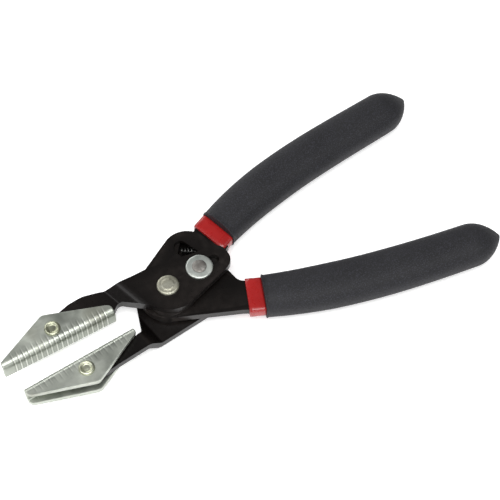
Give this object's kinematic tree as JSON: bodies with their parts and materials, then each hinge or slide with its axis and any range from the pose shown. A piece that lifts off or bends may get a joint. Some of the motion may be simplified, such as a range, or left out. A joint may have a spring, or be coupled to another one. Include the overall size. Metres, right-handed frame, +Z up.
{
  "type": "hand seamer",
  "caption": "Pinch-off pliers with swivelling grooved steel shoes, black flat levers, a slot lock and dipped grips with red collars.",
  "frame": {"origin": "bottom centre of the overall box, on the plane the tool rests on", "axes": "+X from the jaws towards the grips, +Y towards the upper handle, +Z up, along the pivot, out of the side the picture shows"},
  "size_m": [0.234, 0.1056, 0.0183],
  "materials": {
    "black_steel": "semi-gloss",
    "rivet_steel": "satin",
    "zinc_steel": "satin",
    "spring_steel": "satin",
    "shoe_steel": "matte",
    "red_dip": "gloss",
    "black_grip": "matte"
  },
  "bodies": {
    "root": {"rear_jaw_lever": "black_steel", "upper_handle_lever": "black_steel", "front_head_plate": "black_steel", "rear_head_plate": "black_steel", "pivot_rivet": "rivet_steel", "return_spring": "spring_steel", "upper_collar": "red_dip", "upper_grip": "black_grip"},
    "front_jaw": {"front_jaw_lever": "black_steel"},
    "lower_handle": {"lower_handle_lever": "black_steel", "lower_collar": "red_dip", "lower_grip": "black_grip"},
    "lock": {"lock_pin": "rivet_steel", "front_lock_washer": "zinc_steel", "rear_lock_washer": "zinc_steel"},
    "upper_shoe_body": {"upper_shoe": "shoe_steel", "upper_shoe_rivet": "rivet_steel", "upper_shoe_spacers": "zinc_steel"},
    "lower_shoe_body": {"lower_shoe": "shoe_steel", "lower_shoe_rivet": "rivet_steel", "lower_shoe_spacers": "zinc_steel"}
  },
  "joints": [
    {"name": "jaw_close", "type": "hinge", "parent": "root", "child": "front_jaw", "pos_m": [-0.03456, -0.00157, 0.0091], "axis": [0, 0, 1], "range_deg": [0, 12.1], "stiffness_Nm_per_rad": 0.35, "deforming": ["return_spring"]},
    {"name": "lock_release", "type": "hinge", "parent": "front_jaw", "child": "lower_handle", "pos_m": [-0.03456, -0.00157, 0.0091], "axis": [0, 0, 1], "range_deg": [-5, 0]},
    {"name": "lock_slide", "type": "slide", "parent": "front_jaw", "child": "lock", "axis": [0.9923, 0.1236, 0], "range_m": [0, 0.004]},
    {"name": "upper_shoe_swivel", "type": "hinge", "parent": "front_jaw", "child": "upper_shoe_body", "pos_m": [-0.08976, 0.00313, 0.0091], "axis": [0, 0, 1], "range_deg": [-1.02, 0]},
    {"name": "lower_shoe_swivel", "type": "hinge", "parent": "root", "child": "lower_shoe_body", "pos_m": [-0.08396, -0.02187, 0.0091], "axis": [0, 0, 1], "range_deg": [0, 8.6]}
  ],
  "couplings": [
    {"joint": "lock_slide", "follows": "lock_release", "m_per_rad": -0.0458},
    {"joint": "upper_shoe_swivel", "follows": "jaw_close", "ratio": -0.083},
    {"joint": "lower_shoe_swivel", "follows": "jaw_close", "ratio": 0.706}
  ]
}
